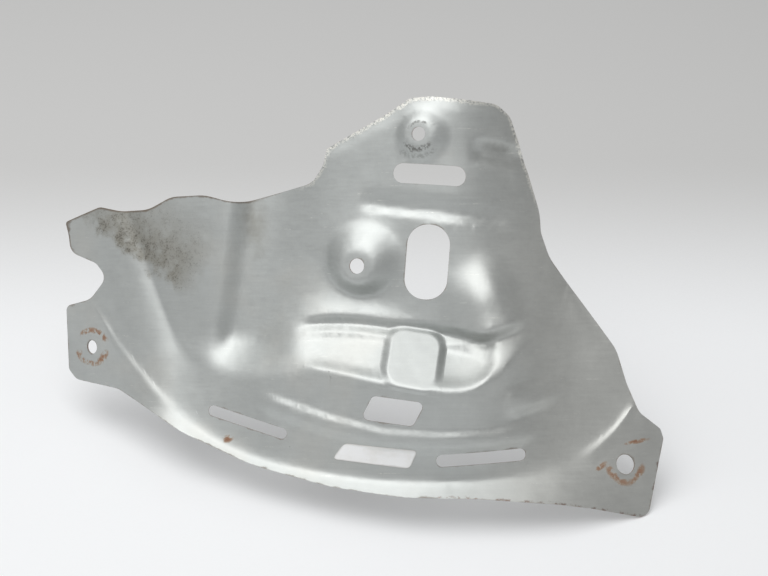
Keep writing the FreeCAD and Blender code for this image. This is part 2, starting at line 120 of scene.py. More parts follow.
class Wire:
    """One value in a shader graph, with arithmetic that adds Math nodes."""

    def __init__(self, graph: "Graph", socket: bpy.types.NodeSocket) -> None:
        """Keeps the graph and the output socket that carries the value."""
        self.graph = graph
        self.socket = socket

    def __add__(self, other: Value) -> "Wire":
        """Sum of two values."""
        return self.graph.math("ADD", self, other)

    def __radd__(self, other: Value) -> "Wire":
        """Sum of two values, number first."""
        return self.graph.math("ADD", other, self)

    def __sub__(self, other: Value) -> "Wire":
        """Difference of two values."""
        return self.graph.math("SUBTRACT", self, other)

    def __rsub__(self, other: Value) -> "Wire":
        """Difference of two values, number first."""
        return self.graph.math("SUBTRACT", other, self)

    def __mul__(self, other: Value) -> "Wire":
        """Product of two values."""
        return self.graph.math("MULTIPLY", self, other)

    def __rmul__(self, other: Value) -> "Wire":
        """Product of two values, number first."""
        return self.graph.math("MULTIPLY", other, self)

    def higher(self, other: Value) -> "Wire":
        """The larger of two values."""
        return self.graph.math("MAXIMUM", self, other)

    def lower(self, other: Value) -> "Wire":
        """The smaller of two values."""
        return self.graph.math("MINIMUM", self, other)

    def size(self) -> "Wire":
        """The value without its sign."""
        return self.graph.math("ABSOLUTE", self, 0.0)

    def root(self) -> "Wire":
        """The value's square root."""
        return self.graph.math("SQRT", self, 0.0)

    def sway(self, amount: float) -> "Wire":
        """A noise's swing about its middle, times an amount."""
        return (self - NOISE_MIDDLE) * amount

    def ramp(self, base: float, gain: float) -> "Wire":
        """A base with some of the value added."""
        return base + self * gain

    def between(self, start: float, end: float) -> "Wire":
        """A smooth step.

        Args:
            start: the value at which the step is 0.
            end: the value at which the step is 1, which may be below start.

        Returns:
            The step from 0 to 1.
        """
        low, high = min(start, end), max(start, end)
        node = self.graph.node(
            "ShaderNodeMapRange",
            {"interpolation_type": "SMOOTHSTEP", "clamp": True},
            {"Value": self, "From Min": low, "From Max": high},
        )
        step = Wire(self.graph, node.outputs["Result"])
        return step if start < end else 1.0 - step


class Graph:
    """A node tree, built through a few methods."""

    def __init__(self, tree: bpy.types.NodeTree) -> None:
        """Keeps the tree that the nodes go into."""
        self.tree = tree

    def node(self, kind: str, settings: Dict[str, Any], sockets: Dict[Any, Any]) -> bpy.types.Node:
        """Adds a node.

        Args:
            kind: the node's type.
            settings: the node's own properties, which are set first.
            sockets: values or links of its inputs, by name or place.

        Returns:
            The new node.
        """
        made = self.tree.nodes.new(kind)
        for key, value in settings.items():
            setattr(made, key, value)
        for key, value in sockets.items():
            self.join(made.inputs[key], value)
        return made

    def join(self, target: bpy.types.NodeSocket, value: Any) -> None:
        """Links a wire or socket to an input, or sets its number."""
        if isinstance(value, Wire):
            self.tree.links.new(value.socket, target)
        elif isinstance(value, bpy.types.NodeSocket):
            self.tree.links.new(value, target)
        else:
            target.default_value = value

    def math(self, operation: str, first: Value, second: Value) -> Wire:
        """One Math node on two values."""
        made = self.node("ShaderNodeMath", {"operation": operation}, {0: first, 1: second})
        return Wire(self, made.outputs[0])

    def mix(self, first: Any, second: Any, share: Value) -> Wire:
        """Mixes two colours.

        Args:
            first: the colour where share is 0.
            second: the colour where share is 1.
            share: how much of the second colour shows.

        Returns:
            The mixed colour.
        """
        made = self.node(
            "ShaderNodeMix",
            {"data_type": "RGBA", "clamp_factor": True},
            {MIX_FACTOR: share, MIX_FIRST: first, MIX_SECOND: second},
        )
        return Wire(self, made.outputs[MIX_RESULT])

    def toned(self, colour: Wire, tone: Value) -> Wire:
        """A colour made lighter or darker by a value."""
        made = self.node("ShaderNodeVectorMath", {"operation": "SCALE"}, {0: colour, "Scale": tone})
        return Wire(self, made.outputs["Vector"])

    def coordinates(self, kind: str) -> Wire:
        """One of the Texture Coordinate node's outputs."""
        return Wire(self, self.node("ShaderNodeTexCoord", {}, {}).outputs[kind])

    def attribute(self, name: str) -> Wire:
        """A value kept on the mesh."""
        made = self.node("ShaderNodeAttribute", {"attribute_name": name}, {})
        return Wire(self, made.outputs["Fac"])

    def die_place(self) -> Wire:
        """The place on the die in millimetres: x across, y inwards and z up."""
        made = self.node(
            "ShaderNodeMapping",
            {"vector_type": "POINT"},
            {
                "Vector": self.coordinates("Object"),
                "Location": (EAR_ACROSS, -EAR_OUT, EAR_UP),
                "Rotation": (LEAN, 0.0, 0.0),
                "Scale": (PER_METRE, PER_METRE, PER_METRE),
            },
        )
        return Wire(self, made.outputs["Vector"])

    def parts(self, place: Wire) -> Tuple[Wire, Wire, Wire]:
        """The three numbers of a place."""
        made = self.node("ShaderNodeSeparateXYZ", {}, {0: place})
        return Wire(self, made.outputs[0]), Wire(self, made.outputs[1]), Wire(self, made.outputs[2])

    def bump(self, height: Wire, strength: float, distance: float) -> Wire:
        """A normal that follows a height, where a height of 1 is the distance in metres."""
        made = self.node(
            "ShaderNodeBump", {}, {"Height": height, "Strength": strength, "Distance": distance}
        )
        return Wire(self, made.outputs["Normal"])


class SurfaceGraph(Graph):
    """A material's node tree with one surface shader."""

    def __init__(self, name: str) -> None:
        """Starts the material."""
        self.material = bpy.data.materials.new(name)
        self.material.use_nodes = True
        super().__init__(self.material.node_tree)
        self.tree.nodes.clear()
        self.shader = self.node("ShaderNodeBsdfPrincipled", {}, {})
        self.node("ShaderNodeOutputMaterial", {}, {"Surface": self.shader.outputs["BSDF"]})

    def dress(self, inputs: Dict[str, Any]) -> bpy.types.Material:
        """Sets or links the shader's inputs and returns the material."""
        for key, value in inputs.items():
            self.join(self.shader.inputs[key], value)
        return self.material


@dataclass(frozen=True)
class Noise:
    """Cloudy noise, with its scale in the units of the place it is read at."""

    scale: float
    detail: float
    rough: float

    def at(self, graph: Graph, place: Wire) -> Wire:
        """The noise at a place, from 0 to 1."""
        made = graph.node(
            "ShaderNodeTexNoise",
            {"noise_dimensions": "3D"},
            {"Vector": place, "Scale": self.scale, "Detail": self.detail, "Roughness": self.rough},
        )
        return Wire(graph, made.outputs["Fac"])


@dataclass(frozen=True)
class Streaks:
    """Noise turned about the die's draw and drawn out, for grain, fibres and scratches."""

    turn: float
    stretch: Tuple[float, float, float]
    detail: float
    rough: float

    def at(self, graph: Graph, place: Wire) -> Wire:
        """The streaks at a place, from 0 to 1."""
        made = graph.node(
            "ShaderNodeMapping",
            {"vector_type": "POINT"},
            {"Vector": place, "Rotation": (0.0, self.turn, 0.0), "Scale": self.stretch},
        )
        drawn = Wire(graph, made.outputs["Vector"])
        return Noise(1.0, self.detail, self.rough).at(graph, drawn)


class Grade(Enum):
    """The noises of the steel's finish, from coarse to fine, and then its streaks."""

    CLOUD = Noise(0.022, 4.0, 0.55)
    DENTS = Noise(0.055, 2.0, 0.45)
    RAGGED = Noise(0.16, 5.0, 0.62)
    FRAYED = Noise(0.42, 4.0, 0.6)
    FINE = Noise(0.9, 4.0, 0.65)
    GRIT = Noise(1.5, 3.0, 0.6)
    SPECK = Noise(2.6, 2.0, 0.5)
    GRAIN = Streaks(0.06, (0.02, 0.3, 0.9), 3.0, 0.6)
    SCRATCH = Streaks(-0.5, (0.018, 0.2, 1.3), 2.0, 0.4)
    CROSS = Streaks(0.9, (0.02, 0.2, 1.1), 2.0, 0.4)


class Tint(Enum):
    """The colours of the steel's finish."""

    COOL = (0.555, 0.574, 0.561, 1.0)
    WARM = (0.565, 0.57, 0.545, 1.0)
    WORN = (0.86, 0.85, 0.79, 1.0)
    # also the tint of the painted shade in the short groove
    GRIME_AND_SHADE = (0.075, 0.068, 0.055, 1.0)
    # also the tint of the painted shade in the valley
    OLIVE_AND_SHADE = (0.26, 0.235, 0.18, 1.0)
    STAIN = (0.20, 0.155, 0.115, 1.0)
    RUST = (0.29, 0.142, 0.08, 1.0)
    PALE_RUST = (0.44, 0.335, 0.24, 1.0)
    DARK_RUST = (0.15, 0.065, 0.035, 1.0)
    HEAT = (0.33, 0.30, 0.27, 1.0)


Sways = Tuple[Tuple[Grade, float], ...]
Breaks = Tuple[Tuple[Grade, Band], ...]


class SheetPlace:
    """What the finish reads at each place of the sheet: where it is, its side, its edges, its noises."""

    front_band: Band = (0.55, 0.95)
    back_band: Band = (0.45, 0.05)
    cut_from: Band = (0.3, 0.45)
    cut_to: Band = (0.7, 0.55)

    def __init__(self, graph: Graph) -> None:
        """Adds the nodes that read the place."""
        self.graph = graph
        self.where = graph.die_place()
        self.across, _, self.up = graph.parts(self.where)
        side = graph.attribute("side")
        self.front = side.between(*self.front_band)
        self.back = side.between(*self.back_band)
        self.cut = side.between(*self.cut_from) * side.between(*self.cut_to)
        self.rim = graph.attribute("rim")
        self.outer = graph.attribute("outer")
        self.noises = {grade: grade.value.at(graph, self.where) for grade in Grade}

    def noise(self, grade: Grade) -> Wire:
        """One of the noises."""
        return self.noises[grade]

    def band(self, grade: Grade, band: Band) -> Wire:
        """A smooth step over one of the noises."""
        return self.noises[grade].between(*band)

    def swayed(self, base: Value, sways: Sways) -> Wire:
        """A value with the swing of some noises added."""
        for grade, amount in sways:
            base = base + self.noises[grade].sway(amount)
        return base

    def tinted(self, metal: Union[Colour, Wire], tint: Tint, share: Value) -> Wire:
        """The metal's colour with a share of a tint laid over it."""
        return self.graph.mix(metal, tint.value, share)


@dataclass(frozen=True)
class Spot:
    """An oval patch on the die, in millimetres, with a turn in degrees."""

    across: float
    up: float
    half_across: float
    half_up: float
    turn: float
    inner: float
    outer: float = 1.15
    fray: float = 0.9

    def mask(self, at: SheetPlace) -> Wire:
        """How much the patch covers a place: 1 inside it and 0 outside."""
        made = at.graph.node(
            "ShaderNodeMapping",
            {"vector_type": "TEXTURE"},
            {
                "Vector": at.where,
                "Location": (self.across, 0.0, self.up),
                "Rotation": (0.0, -math.radians(self.turn), 0.0),
                "Scale": (self.half_across, 1.0, self.half_up),
            },
        )
        x, _, z = at.graph.parts(Wire(at.graph, made.outputs["Vector"]))
        reach = at.swayed((x * x + z * z).root(), ((Grade.RAGGED, self.fray),))
        return reach.between(self.outer, self.inner)


@dataclass(frozen=True)
class WasherBow:
    """A bow of rust or dirt that a bolt's washer leaves beside one of the mounting holes."""

    mount: str
    radius: float
    middle: float
    sweep: float
    half_width: float
    strength: float
    inner_width: float = 0.2
    outer_width: float = 1.6
    end_fade: float = 0.2
    end_fray: float = 0.9
    frays: Sways = ((Grade.RAGGED, 4.6), (Grade.FRAYED, 2.6))

    def hole(self) -> Tuple[float, float]:
        """The hole's place on the die, across and up, in millimetres."""
        place = next(hole["pos_m"] for hole in frame["record"]["mounts"] if hole["name"] == self.mount)
        spot = Vector(place) / MILLI
        return spot.dot(ACROSS) + EAR_ACROSS, spot.dot(UP) + EAR_UP

    def mask(self, at: SheetPlace) -> Wire:
        """How much the bow covers a place: its strength inside it and 0 outside."""
        hole_across, hole_up = self.hole()
        x, z = at.across - hole_across, at.up - hole_up
        turn = math.radians(self.middle)
        ahead = x * math.cos(turn) + z * math.sin(turn)
        aside = z * math.cos(turn) - x * math.sin(turn)
        angle = at.graph.math("ARCTAN2", aside, ahead).size()
        angle = at.swayed(angle, ((Grade.RAGGED, self.end_fray),))
        off = at.swayed((x * x + z * z).root() - self.radius, self.frays).size()
        half = math.radians(self.sweep) / 2.0
        bow = off.between(self.half_width * self.outer_width, self.half_width * self.inner_width)
        return bow * angle.between(half + self.end_fade, half - self.end_fade) * self.strength


@dataclass(frozen=True)
class DirtWedge:
    """A wedge of baked dirt: dense along one slanting line and thinning out above it."""

    start: Tuple[float, float]
    end: Tuple[float, float]
    depth: float
    lead: float = -12.0
    lead_share: float = 0.35
    tail: Band = (7.0, -8.0)
    foot: Band = (-3.5, 3.0)
    fray_along: float = 18.0
    fray_above: float = 14.0

    def mask(self, at: SheetPlace) -> Wire:
        """How dense the dirt is at a place: 1 along the line and 0 outside the wedge."""
        line = Vector(self.end) - Vector(self.start)
        length = line.length
        line.normalize()
        x, z = at.across - self.start[0], at.up - self.start[1]
        along = at.swayed(x * line.x + z * line.y, ((Grade.RAGGED, self.fray_along),))
        above = at.swayed(z * line.x - x * line.y, ((Grade.RAGGED, self.fray_above),))
        ends = along.between(self.lead, length * self.lead_share)
        ends = ends * along.between(length + self.tail[0], length + self.tail[1])
        return ends * above.between(*self.foot) * above.between(self.depth, self.foot[1])


@dataclass(frozen=True)
class EdgeWear:
    """Wear along one stretch of the sheet's outer edge.

    The bands are in millimetres up and across the die and in from the edge. The sways fray the
    wear's inner line, and the breaks leave gaps in it.
    """

    tint: Tint
    share: float
    up: Band
    across: Band
    reach: Band
    sways: Sways
    breaks: Breaks = ()

    def stretch(self, at: SheetPlace) -> Wire:
        """The stretch of the die that the wear belongs to."""
        return at.up.between(*self.up) * at.across.between(*self.across)

    def mask(self, at: SheetPlace) -> Wire:
        """How much of the wear shows at a place."""
        mask = at.swayed(at.outer, self.sways).between(*self.reach) * self.stretch(at)
        for grade, band in self.breaks:
            mask = mask * at.band(grade, band)
        return mask * self.share


@dataclass(frozen=True)
class AluminisedSteel:
    """Satin aluminised sheet with soot, washer marks, scuffs and rusted cut edges, and painted shade in
    the short groove and the valley.

    A value named for a depth is a base and a gain, and a share is how much of a tint shows.
    """

    name: str = "aluminised_steel"

    # Bare metal: warmer to the right, streaked and scuffed
    warm_side: Band = (20.0, 80.0)
    warm_fray: Sways = ((Grade.CLOUD, 40.0),)
    warm_patch: Band = (0.52, 0.72)
    warm_share: float = 0.7
    tone: float = 0.95
    tone_sways: Sways = (
        (Grade.CLOUD, 0.22),
        (Grade.RAGGED, 0.13),
        (Grade.FINE, 0.10),
        (Grade.GRAIN, 0.16),
        (Grade.SPECK, 0.06),
    )
    scratch_band: Band = (0.70, 0.76)
    cross_band: Band = (0.72, 0.78)
    cross_share: float = 0.7
    scuff_breaks: Band = (0.42, 0.6)
    scuff_share: float = 0.35

    # Back: heated, stained and freckled
    heat_base: float = 0.40
    heat_sways: Sways = ((Grade.CLOUD, 1.6),)
    back_stain: Band = (0.50, 0.70)
    back_stain_share: float = 0.38
    freckle_band: Band = (0.62, 0.72)
    freckle_patch: Band = (0.46, 0.60)
    freckle_share: float = 0.6

    # Baked dirt on the left wing and round the top boss, with painted shade in the short groove and in the
    # valley
    dirt: DirtWedge = DirtWedge((-143.0, 34.0), (-94.0, -1.0), 40.0)
    clump_band: Band = (0.31, 0.62)
    fleck_clumps: float = 0.10
    fleck_sways: Sways = ((Grade.FRAYED, 0.36),)
    fleck_band: Band = (0.56, 0.72)
    fleck_cover: Band = (0.0, 0.4)
    fleck_depth: Tuple[float, float] = (0.20, 0.28)
    soot_band: Band = (0.38, 0.66)
    soot_depth: Tuple[float, float] = (0.10, 0.22)
    soot_limit: float = 0.9
    haze_share: float = 0.34
    clump_share: float = 0.32
    # painted shade: a dark patch along the short groove's upper flank, laid in with the soot
    groove_shade_spot: Spot = Spot(50.0, 62.0, 10.0, 3.4, -8.0, 0.1)
    groove_shade_depth: Tuple[float, float] = (0.15, 0.3)
    # painted shade: a darker olive patch down the valley between the left wing and the plate
    valley_shade_spot: Spot = Spot(-59.5, 29.0, 8.0, 17.0, 8.0, 0.0)
    valley_shade_depth: Tuple[float, float] = (0.10, 0.5)
    dirt_bows: Tuple[WasherBow, ...] = (
        WasherBow("top_boss_hole", 6.7, 268.0, 110.0, 1.0, 0.62),
        WasherBow("top_boss_hole", 5.4, 105.0, 100.0, 0.6, 0.55),
        WasherBow("top_boss_hole", 9.6, 272.0, 90.0, 1.2, 0.26),
    )
    dirt_bow_breaks: Band = (0.40, 0.56)

    # Rust beside the ear holes and in a few spots
    rust_spots: Tuple[Spot, ...] = (
        Spot(-70.5, -68.0, 3.0, 2.0, 20.0, 0.3),
        Spot(113.0, -68.6, 6.4, 1.1, 10.0, 0.3),
        Spot(96.4, -79.0, 3.8, 1.3, 33.0, 0.3),
    )
    rust_bows: Tuple[WasherBow, ...] = (
        WasherBow("left_ear_hole", 8.0, 78.0, 105.0, 1.0, 0.95),
        WasherBow("left_ear_hole", 7.8, 268.0, 150.0, 1.2, 0.95),
        WasherBow("right_ear_hole", 8.0, 270.0, 165.0, 1.2, 0.8),
    )
    mark_breaks: Band = (0.36, 0.52)
    mark_depth: Tuple[float, float] = (0.4, 0.6)
    pale_band: Band = (0.0, 0.5)
    pale_share: float = 0.7
    rust_band: Band = (0.40, 0.56)
    rust_share: float = 0.9
    dark_band: Band = (0.52, 0.68)
    dark_share: float = 0.45

    # Edges: chips and dirt along the top, a brown line on the left wing, nicks along the bottom
    top_chips: EdgeWear = EdgeWear(
        Tint.WORN, 0.85, (28.0, 50.0), (-44.0, -24.0), (2.4, 0.7),
        ((Grade.RAGGED, 4.0), (Grade.FRAYED, 2.0)), ((Grade.FINE, (0.40, 0.52)),),
    )
    edge_wear: Tuple[EdgeWear, ...] = (
        EdgeWear(
            Tint.GRIME_AND_SHADE, 0.55, (28.0, 50.0), (-44.0, -24.0), (3.4, 0.6),
            ((Grade.RAGGED, 3.0),), ((Grade.SPECK, (0.56, 0.64)),),
        ),
        EdgeWear(
            Tint.STAIN, 0.75, (12.0, 24.0), (-52.0, -66.0), (1.2, 0.3),
            ((Grade.RAGGED, 1.6), (Grade.FRAYED, 1.2)),
        ),
        EdgeWear(
            Tint.DARK_RUST, 0.7, (-66.0, -82.0), (12.0, 30.0), (1.3, 0.2),
            ((Grade.FINE, 2.6),), ((Grade.FRAYED, (0.50, 0.60)),),
        ),
    )
    creep_middle: float = 0.42
    creep_fray: float = 3.4
    creep_reach: Band = (0.75, 0.0)
    creep_spared: float = 0.75
    creep_share: float = 0.55
    cut_band: Band = (0.40, 0.60)
    cut_share: float = 0.8

    # Gloss and relief
    metallic: float = 0.94
    metallic_loss: float = 0.75
    creep_matt: float = 0.6
    heat_matt: float = 0.5
    rough: float = 0.52
    rough_sways: Sways = ((Grade.CLOUD, 0.10), (Grade.FINE, 0.12), (Grade.GRAIN, 0.10))
    rough_matt: float = 0.32
    rough_scuffs: float = 0.08
    rough_limits: Tuple[float, float] = (0.24, 0.92)
    relief: Tuple[Tuple[Grade, float], ...] = (
        (Grade.FINE, 0.5),
        (Grade.GRAIN, 0.35),
        (Grade.SPECK, 0.2),
        (Grade.DENTS, 14.0),
    )
    scuff_relief: float = -0.5
    rust_relief: float = 1.6
    bump_strength: float = 0.5
    bump_distance: float = 0.00006

    def make(self) -> bpy.types.Material:
        """Builds the finish and returns its material."""
        graph = SurfaceGraph(self.name)
        at = SheetPlace(graph)
        scuffs = self.scuffs(at)
        heated = at.back * at.swayed(self.heat_base, self.heat_sways).higher(0.0)
        dirt = self.dirt.mask(at)
        soot_and_shade = self.soot_and_shade(at, dirt)
        marks = self.marks(at)
        creep = self.creep(at)

        metal = self.bare(at, scuffs)
        metal = self.burnt(at, metal, heated)
        metal = self.dirtied(at, metal, dirt, soot_and_shade)
        metal = self.rusted(at, metal, marks)
        metal = self.edged(at, metal, creep)

        matt = soot_and_shade.higher(marks).higher(creep * self.creep_matt).higher(heated * self.heat_matt)
        smoothest, roughest = self.rough_limits
        rough = at.swayed(self.rough, self.rough_sways) + matt * self.rough_matt
        rough = (rough - scuffs * self.rough_scuffs).lower(roughest).higher(smoothest)
        height = scuffs * self.scuff_relief + marks * at.noise(Grade.SPECK) * self.rust_relief
        for grade, amount in self.relief:
            height = height + at.noise(grade) * amount
        return graph.dress({
            "Base Color": metal,
            "Metallic": self.metallic - matt * self.metallic_loss,
            "Roughness": rough,
            "Normal": graph.bump(height, self.bump_strength, self.bump_distance),
        })

    def scuffs(self, at: SheetPlace) -> Wire:
        """Where the sheet is scratched, along two directions."""
        scratches = at.band(Grade.SCRATCH, self.scratch_band)
        scratches = scratches + at.band(Grade.CROSS, self.cross_band) * self.cross_share
        return scratches * at.band(Grade.FINE, self.scuff_breaks)

    def soot_and_shade(self, at: SheetPlace, dirt: Wire) -> Wire:
        """How much soot lies on a place, with the short groove's painted shade.

        Args:
            at: the place on the sheet.
            dirt: how dense the left wing's dirt is there.

        Returns:
            The cover of soot and of painted groove shade, from 0 to 1.
        """
        frayed = at.noise(Grade.FRAYED)
        clumps = self.clumps(at, dirt)
        flecks = at.swayed(at.noise(Grade.GRIT) + clumps * self.fleck_clumps, self.fleck_sways)
        flecks = flecks.between(*self.fleck_band) * dirt.between(*self.fleck_cover)
        soot_and_shade = clumps * frayed.between(*self.soot_band).ramp(*self.soot_depth)
        soot_and_shade = (soot_and_shade + flecks * clumps.ramp(*self.fleck_depth)).lower(self.soot_limit)
        # painted shade along the short groove's upper flank
        soot_and_shade = soot_and_shade.higher(self.groove_shade_spot.mask(at) * frayed.ramp(*self.groove_shade_depth))
        for bow in self.dirt_bows:
            soot_and_shade = soot_and_shade.higher(bow.mask(at) * at.band(Grade.FINE, self.dirt_bow_breaks))
        return soot_and_shade

    def clumps(self, at: SheetPlace, dirt: Wire) -> Wire:
        """The clumps that the left wing's dirt gathers in."""
        return dirt * at.band(Grade.RAGGED, self.clump_band)

    def marks(self, at: SheetPlace) -> Wire:
        """How much rust lies on a place of the front."""
        masks = [mark.mask(at) for mark in self.rust_spots + self.rust_bows]
        marks = masks[0]
        for mask in masks[1:]:
            marks = marks.higher(mask)
        patches = at.band(Grade.RAGGED, self.mark_breaks).ramp(*self.mark_depth)
        return marks * at.front * at.band(Grade.FRAYED, self.mark_breaks) * patches

    def creep(self, at: SheetPlace) -> Wire:
        """How far stain creeps in from the cut edges, less along the chipped top."""
        reach = at.rim + (at.noise(Grade.RAGGED) - self.creep_middle) * self.creep_fray
        return reach.between(*self.creep_reach) * (1.0 - self.top_chips.stretch(at) * self.creep_spared)

    def bare(self, at: SheetPlace, scuffs: Wire) -> Wire:
        """The bare metal's colour, scuffed on the front."""
        right = at.swayed(at.across, self.warm_fray).between(*self.warm_side)
        warm = right.higher(at.band(Grade.CLOUD, self.warm_patch) * self.warm_share)
        metal = at.tinted(Tint.COOL.value, Tint.WARM, warm)
        metal = at.graph.toned(metal, at.swayed(self.tone, self.tone_sways))
        return at.tinted(metal, Tint.WORN, scuffs * self.scuff_share * at.front)

    def burnt(self, at: SheetPlace, metal: Wire, heated: Wire) -> Wire:
        """The colour with the back's heat, stains and freckles."""
        metal = at.tinted(metal, Tint.HEAT, heated)
        stains = at.back * at.band(Grade.RAGGED, self.back_stain)
        metal = at.tinted(metal, Tint.STAIN, stains * self.back_stain_share)
        freckles = at.back * at.band(Grade.GRIT, self.freckle_band)
        freckles = freckles * at.band(Grade.RAGGED, self.freckle_patch)
        return at.tinted(metal, Tint.RUST, freckles * self.freckle_share)

    def dirtied(self, at: SheetPlace, metal: Wire, dirt: Wire, soot_and_shade: Wire) -> Wire:
        """The colour with the front's haze, the valley's painted shade, and soot with the short groove's
        painted shade.
        """
        haze = dirt * self.haze_share + self.clumps(at, dirt) * self.clump_share
        metal = at.tinted(metal, Tint.OLIVE_AND_SHADE, haze * at.front)
        # painted shade down the valley, in the olive tint
        painted_valley_shade = self.valley_shade_spot.mask(at) * at.noise(Grade.FRAYED).ramp(*self.valley_shade_depth)
        metal = at.tinted(metal, Tint.OLIVE_AND_SHADE, painted_valley_shade * at.front)
        # soot, and the short groove's painted shade, in the grime tint
        return at.tinted(metal, Tint.GRIME_AND_SHADE, soot_and_shade * at.front)

    def rusted(self, at: SheetPlace, metal: Wire, marks: Wire) -> Wire:
        """The colour with rust, pale at its edges and dark in its pits."""
        metal = at.tinted(metal, Tint.PALE_RUST, marks.between(*self.pale_band) * self.pale_share)
        rust = marks * at.band(Grade.FRAYED, self.rust_band)
        metal = at.tinted(metal, Tint.RUST, rust * self.rust_share)
        pits = marks * at.band(Grade.GRIT, self.dark_band)
        return at.tinted(metal, Tint.DARK_RUST, pits * self.dark_share)

    def edged(self, at: SheetPlace, metal: Wire, creep: Wire) -> Wire:
        """The colour with the wear along the edges and rust on the cut faces."""
        for wear in (self.top_chips,) + self.edge_wear:
            metal = at.tinted(metal, wear.tint, wear.mask(at))
        metal = at.tinted(metal, Tint.STAIN, creep * self.creep_share)
        cut = at.cut * at.band(Grade.RAGGED, self.cut_band)
        return at.tinted(metal, Tint.RUST, cut * self.cut_share)


@dataclass(frozen=True)
class LabelPaper:
    """White label paper, a little yellowed, with soiled edges and nothing on it."""

    name: str = "label_paper"
    clean: Colour = (0.93, 0.935, 0.935, 1.0)
    aged: Colour = (0.85, 0.845, 0.82, 1.0)
    soil: Colour = (0.42, 0.40, 0.36, 1.0)
    cloud: Noise = Noise(0.12, 4.0, 0.6)
    fibre: Streaks = Streaks(0.1, (0.6, 1.0, 2.4), 4.0, 0.65)
    aged_band: Band = (0.42, 0.72)
    aged_share: float = 0.8
    soil_reach: Band = (0.9, 0.0)
    soil_fray: float = 1.6
    soil_share: float = 0.5
    fleck_band: Band = (0.66, 0.76)
    fleck_share: float = 0.25
    rough_depth: Tuple[float, float] = (0.62, 0.2)
    bump_strength: float = 0.4
    bump_distance: float = 0.00008

    def make(self) -> bpy.types.Material:
        """Builds the finish and returns its material."""
        graph = SurfaceGraph(self.name)
        place = graph.die_place()
        cloud = self.cloud.at(graph, place)
        fibre = self.fibre.at(graph, place)
        paper = graph.mix(self.clean, self.aged, cloud.between(*self.aged_band) * self.aged_share)
        edge = graph.attribute("rim") + cloud.sway(self.soil_fray)
        soiled = edge.between(*self.soil_reach) * self.soil_share
        soiled = soiled + fibre.between(*self.fleck_band) * self.fleck_share
        return graph.dress({
            "Base Color": graph.mix(paper, self.soil, soiled),
            "Roughness": fibre.ramp(*self.rough_depth),
            "Normal": graph.bump(fibre, self.bump_strength, self.bump_distance),
        })


@dataclass(frozen=True)
class SweepPaper:
    """The pale sheet under the part, in metres, greying from the front to the back as painted light
    falloff.
    """

    name: str = "sweep_paper"
    near: Colour = (0.92, 0.93, 0.94, 1.0)
    # painted shade: the greyer colour behind stands in for the light falling off
    painted_falloff_far: Colour = (0.63, 0.628, 0.62, 1.0)
    turn: Band = (0.12, 0.36)
    speck: Noise = Noise(900.0, 2.0, 0.5)
    speck_sway: float = 0.12
    lit_share: float = 0.76
    glow: float = 0.22
    rough: float = 0.8
    gloss: float = 0.1

    def make(self) -> bpy.types.Material:
        """Builds the finish and returns its material."""
        graph = SurfaceGraph(self.name)
        place = graph.coordinates("Object")
        _, depth, _ = graph.parts(place)
        # painted light falloff along the depth, from the near colour to the greyer far colour
        share = depth.between(*self.turn) + self.speck.at(graph, place).sway(self.speck_sway)
        paper = graph.mix(self.near, self.painted_falloff_far, share)
        rays = graph.node("ShaderNodeLightPath", {}, {}).outputs
        seen = Wire(graph, rays["Is Camera Ray"]).higher(Wire(graph, rays["Is Glossy Ray"]))
        return graph.dress({
            "Base Color": graph.toned(paper, self.lit_share),
            "Emission Color": graph.toned(paper, seen),
            "Emission Strength": self.glow,
            "Roughness": self.rough,
            "Specular IOR Level": self.gloss,
        })


def new_piece(name: str, work: bmesh.types.BMesh, finish: bpy.types.Material) -> bpy.types.Object:
    """Puts a finished mesh in the scene, at the origin.

    Args:
        name: the piece's name.
        work: its mesh, which is freed.
        finish: its material.

    Returns:
        The new object.
    """
    mesh = bpy.data.meshes.new(name)
    work.to_mesh(mesh)
    work.free()
    mesh.materials.append(finish)
    piece = bpy.data.objects.new(name, mesh)
    bpy.context.collection.objects.link(piece)
    return piece


def surface_tree(carrier: bpy.types.Object) -> BVHTree:
    """A search tree over the faces of a piece that carries another."""
    work = bmesh.new()
    work.from_mesh(carrier.data)
    tree = BVHTree.FromBMesh(work)
    work.free()
    return tree


def face_viewer(work: bmesh.types.BMesh) -> None:
    """Turns an open sheet's faces towards the viewer."""
    if sum((face.normal.dot(OUT) for face in work.faces), 0.0) < 0.0:
        bmesh.ops.reverse_faces(work, faces=work.faces)
    work.normal_update()


def ease(share: float) -> float:
    """A smooth step from 0 to 1."""
    share = min(max(share, 0.0), 1.0)
    return share * share * (3.0 - 2.0 * share)


